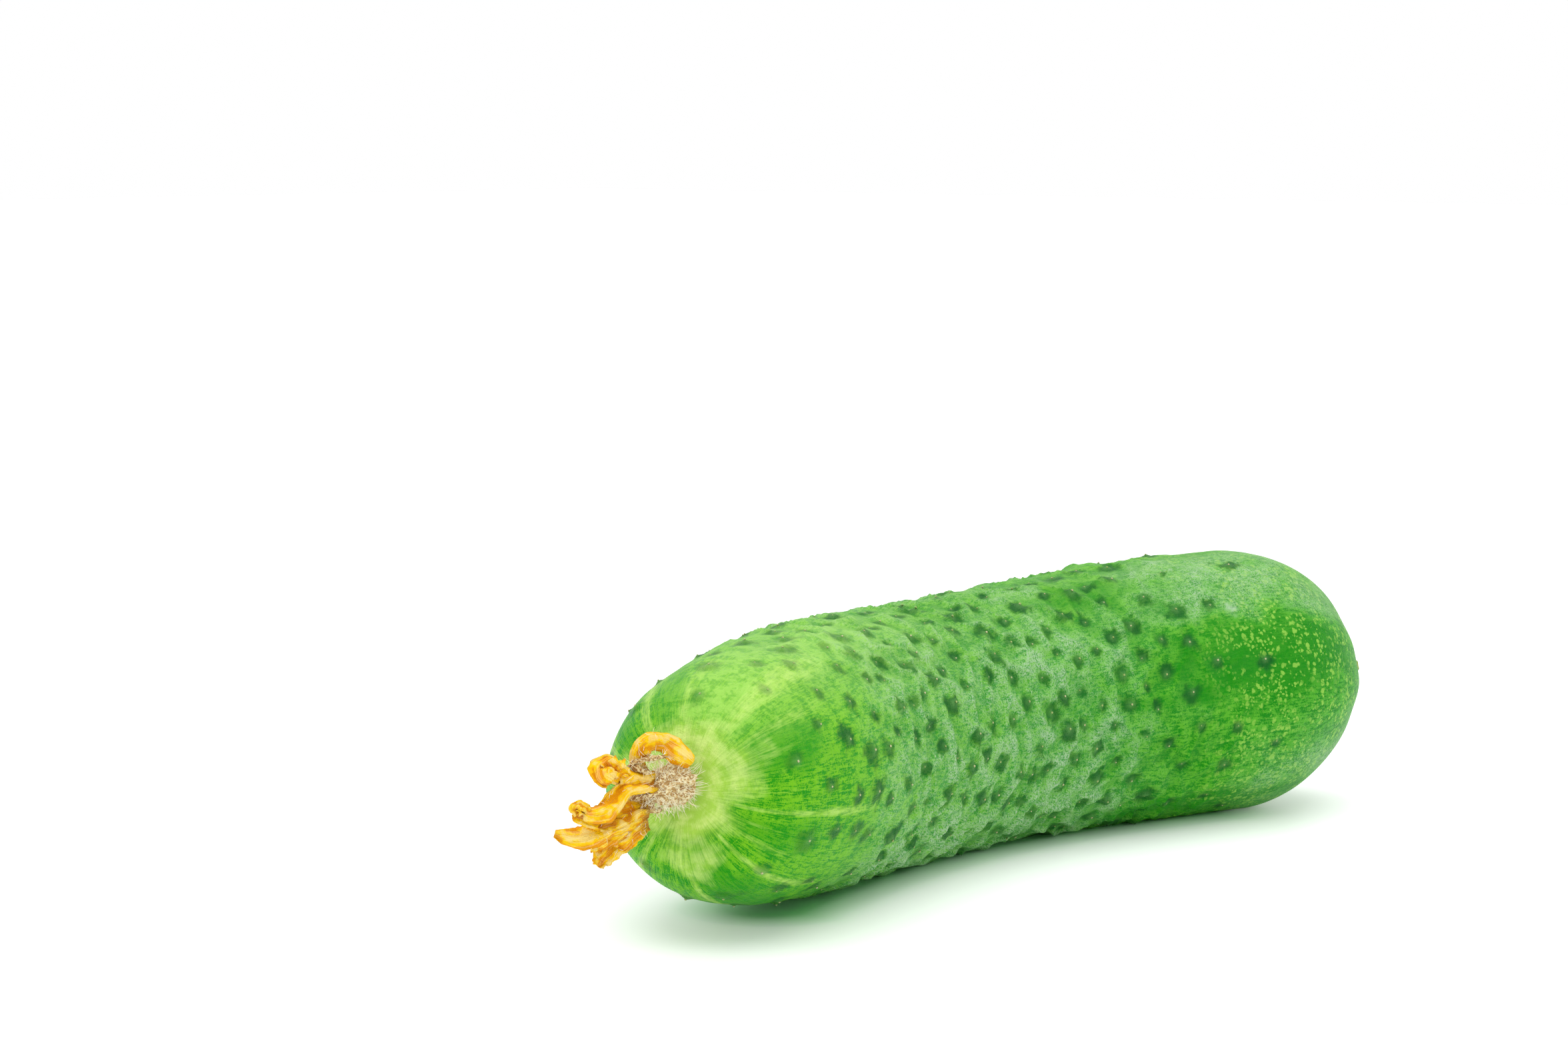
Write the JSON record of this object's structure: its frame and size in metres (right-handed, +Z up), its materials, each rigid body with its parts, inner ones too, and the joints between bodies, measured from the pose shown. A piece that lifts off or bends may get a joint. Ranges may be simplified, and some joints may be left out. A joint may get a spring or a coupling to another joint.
{
  "type": "cucumber",
  "caption": "Short prickly cucumber, as picked, gently bent and lying on its belly, with its withered yellow flower on one end and a cut stem stub on the other.",
  "frame": {"origin": "on the flat of the belly that the fruit rests on, under the middle of its length", "axes": "+X from the flower end to the stem end, the fruit bends in the XY plane with its hollow side towards -Y, +Z up from the surface it lies on"},
  "size_m": [0.145, 0.0414, 0.0328],
  "materials": {
    "skin": "satin",
    "stem": "matte",
    "collar": "matte",
    "petal": "matte",
    "sepal": "matte"
  },
  "bodies": {
    "root": {"fruit": "skin", "stem_stub": "stem", "flower_collar": "collar", "petal_top": "petal", "petal_curled": "petal", "petal_middle": "petal", "petal_long": "petal", "petal_bottom": "petal", "sepal_upper": "sepal", "sepal_front": "sepal", "sepal_lower": "sepal", "sepal_back": "sepal", "sepal_rear": "sepal"}
  },
  "joints": []
}
